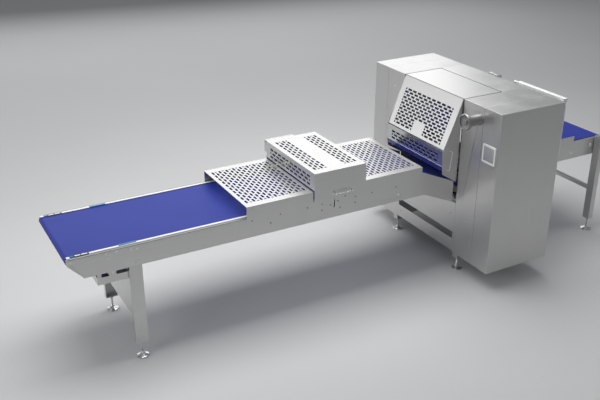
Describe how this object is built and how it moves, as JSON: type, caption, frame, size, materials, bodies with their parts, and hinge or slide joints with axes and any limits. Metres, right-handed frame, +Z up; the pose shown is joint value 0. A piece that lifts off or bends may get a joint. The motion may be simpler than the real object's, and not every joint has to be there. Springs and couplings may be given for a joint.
{
  "type": "dough sheeter",
  "caption": "Bakery dough sheeter: a guarded belt conveyor feeds a stainless roller head with a hinged hood, and a short outfeed belt takes the sheet away.",
  "frame": {"origin": "on the floor, under the middle of the machine's bounding box", "axes": "+X along the dough flow from infeed to outfeed, +Y to the far side from the operator, +Z up"},
  "size_m": [4.7068, 1.632, 1.46],
  "materials": {
    "brushed_steel": "brushed, satin",
    "machined_iron": "machined",
    "white_plastic": "satin",
    "screen": "glossy",
    "polished_steel": "polished stainless",
    "motor_paint": "painted",
    "blue_belt": "smooth food belt",
    "cyan_plastic": "satin",
    "clear_flap": "clear"
  },
  "bodies": {
    "root": {"front_panel": "brushed_steel", "rear_panel": "brushed_steel", "side_frames": "machined_iron", "column_near": "brushed_steel", "column_far": "brushed_steel", "cover_near": "brushed_steel", "cover_far": "brushed_steel", "rear_top_cover": "brushed_steel", "hmi_bezel": "white_plastic", "hmi_screen": "screen", "handwheel_housing": "brushed_steel", "lower_bearings": "machined_iron", "lower_scraper": "brushed_steel", "lower_gearmotor": "motor_paint", "head_feet": "polished_steel", "rear_trunking": "white_plastic", "infeed_plate_near": "brushed_steel", "infeed_plate_far": "brushed_steel", "infeed_bed": "brushed_steel", "infeed_belt": "blue_belt", "cross_bars": "brushed_steel", "edge_strips": "white_plastic", "edge_fittings": "cyan_plastic", "infeed_legs": "brushed_steel", "leg_panel": "brushed_steel", "belt_pan": "brushed_steel", "conveyor_feet": "polished_steel", "frame_bolts": "polished_steel", "front_grille": "brushed_steel", "rear_grille": "brushed_steel", "skirt_near": "brushed_steel", "skirt_far": "brushed_steel", "outfeed_plates": "brushed_steel", "outfeed_bed": "brushed_steel", "outfeed_belt": "blue_belt", "outfeed_legs": "brushed_steel"},
    "hood": {"hood_top": "brushed_steel", "hood_grille": "brushed_steel", "hood_lower_grille": "brushed_steel", "hood_side_near": "brushed_steel", "hood_side_far": "brushed_steel", "inlet_flap": "clear_flap"},
    "raised_cover": {"box_top": "brushed_steel", "box_wall_front": "brushed_steel", "box_wall_rear": "brushed_steel", "box_side_near": "brushed_steel", "box_side_far": "brushed_steel", "box_handle": "polished_steel"},
    "gap_handwheel": {"handwheel": "polished_steel"},
    "roller_carriage": {"carriages": "machined_iron", "upper_gearmotor": "motor_paint"},
    "upper_roller": {"upper_roller": "polished_steel"},
    "lower_roller": {"lower_roller": "polished_steel"},
    "infeed_drive_roller": {"infeed_drive_roller": "polished_steel"},
    "infeed_end_roller": {"infeed_end_roller": "polished_steel"},
    "infeed_tail_roller": {"infeed_tail_roller": "polished_steel"},
    "tension_roller": {"tension_roller": "polished_steel"},
    "outfeed_drive_roller": {"outfeed_drive_roller": "polished_steel"},
    "outfeed_end_roller": {"outfeed_end_roller": "polished_steel"},
    "outfeed_tail_roller": {"outfeed_tail_roller": "polished_steel"}
  },
  "joints": [
    {"name": "hood_hinge", "type": "hinge", "parent": "root", "child": "hood", "pos_m": [1.1095, 0, 1.446], "axis": [0, 1, 0], "range_deg": [0, 88]},
    {"name": "raised_cover_hinge", "type": "hinge", "parent": "root", "child": "raised_cover", "pos_m": [-0.335, 0.396, 0.905], "axis": [-1, 0, 0], "range_deg": [0, 80]},
    {"name": "handwheel_turn", "type": "hinge", "parent": "root", "child": "gap_handwheel", "pos_m": [0.6335, -0.572, 1.355], "axis": [1, 0, 0], "range_deg": [0, 1440]},
    {"name": "roller_lift", "type": "slide", "parent": "root", "child": "roller_carriage", "axis": [0, 0, 1], "range_m": [0, 0.032]},
    {"name": "lower_roller_turn", "type": "hinge", "parent": "root", "child": "lower_roller", "pos_m": [1.0625, 0, 0.51], "axis": [0, 1, 0], "continuous": true},
    {"name": "upper_roller_turn", "type": "hinge", "parent": "roller_carriage", "child": "upper_roller", "pos_m": [1.0625, 0, 0.782], "axis": [0, 1, 0], "continuous": true},
    {"name": "infeed_drive_turn", "type": "hinge", "parent": "root", "child": "infeed_drive_roller", "pos_m": [0.1935, 0, 0.775], "axis": [0, 1, 0], "continuous": true},
    {"name": "infeed_end_turn", "type": "hinge", "parent": "root", "child": "infeed_end_roller", "pos_m": [-2.3265, 0, 0.85], "axis": [0, 1, 0], "continuous": true},
    {"name": "infeed_tail_turn", "type": "hinge", "parent": "root", "child": "infeed_tail_roller", "pos_m": [0.94374, 0, 0.62727], "axis": [0, 1, 0], "continuous": true},
    {"name": "tension_turn", "type": "hinge", "parent": "root", "child": "tension_roller", "pos_m": [-2.0615, 0, 0.715], "axis": [0, 1, 0], "continuous": true},
    {"name": "outfeed_drive_turn", "type": "hinge", "parent": "root", "child": "outfeed_drive_roller", "pos_m": [2.0035, 0, 0.775], "axis": [0, 1, 0], "continuous": true},
    {"name": "outfeed_end_turn", "type": "hinge", "parent": "root", "child": "outfeed_end_roller", "pos_m": [2.3265, 0, 0.85], "axis": [0, 1, 0], "continuous": true},
    {"name": "outfeed_tail_turn", "type": "hinge", "parent": "root", "child": "outfeed_tail_roller", "pos_m": [1.18126, 0, 0.62727], "axis": [0, 1, 0], "continuous": true}
  ],
  "couplings": [
    {"joint": "handwheel_turn", "follows": "roller_lift", "rad_per_m": 785},
    {"joint": "upper_roller_turn", "follows": "lower_roller_turn", "ratio": -1},
    {"joint": "infeed_end_turn", "follows": "infeed_drive_turn", "ratio": 1.75},
    {"joint": "infeed_tail_turn", "follows": "infeed_drive_turn", "ratio": 1.75},
    {"joint": "tension_turn", "follows": "infeed_drive_turn", "ratio": 1.4},
    {"joint": "outfeed_end_turn", "follows": "outfeed_drive_turn", "ratio": 1.75},
    {"joint": "outfeed_tail_turn", "follows": "outfeed_drive_turn", "ratio": 1.75}
  ]
}
